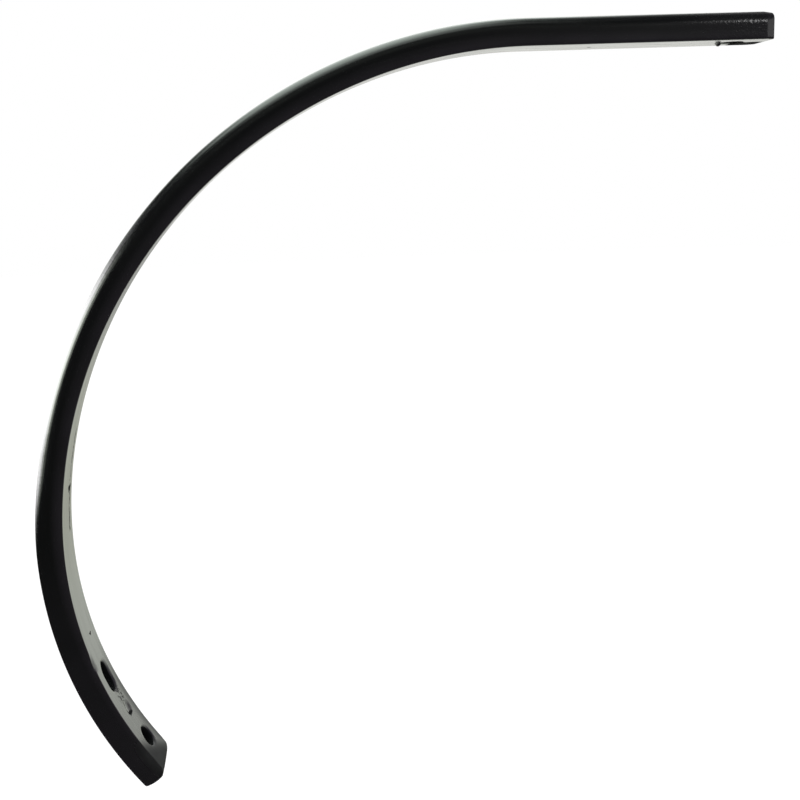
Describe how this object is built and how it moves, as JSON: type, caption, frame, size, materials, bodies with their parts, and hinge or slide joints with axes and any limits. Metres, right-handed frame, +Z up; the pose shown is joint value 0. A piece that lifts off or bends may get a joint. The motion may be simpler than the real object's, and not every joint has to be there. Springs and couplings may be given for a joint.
{
  "type": "cultivator shank",
  "caption": "Spring shank for a cultivator: a black flat steel bar, straight and drilled at the top and swept round in a hook to a tip with a bolt hole and a slot for the share.",
  "frame": {"origin": "centre of the top bolt hole, at mid thickness and mid width of the bar", "axes": "+X along the straight run towards the top end, +Z up along the top bolt hole and out of the back of the bar, Y across the bar's width; the bar sweeps away to -X and down to its tip"},
  "size_m": [0.4737, 0.035, 0.4787],
  "materials": {
    "black_enamel": "satin black enamel over rolled spring steel"
  },
  "bodies": {
    "root": {"shank": "black_enamel"}
  },
  "joints": []
}
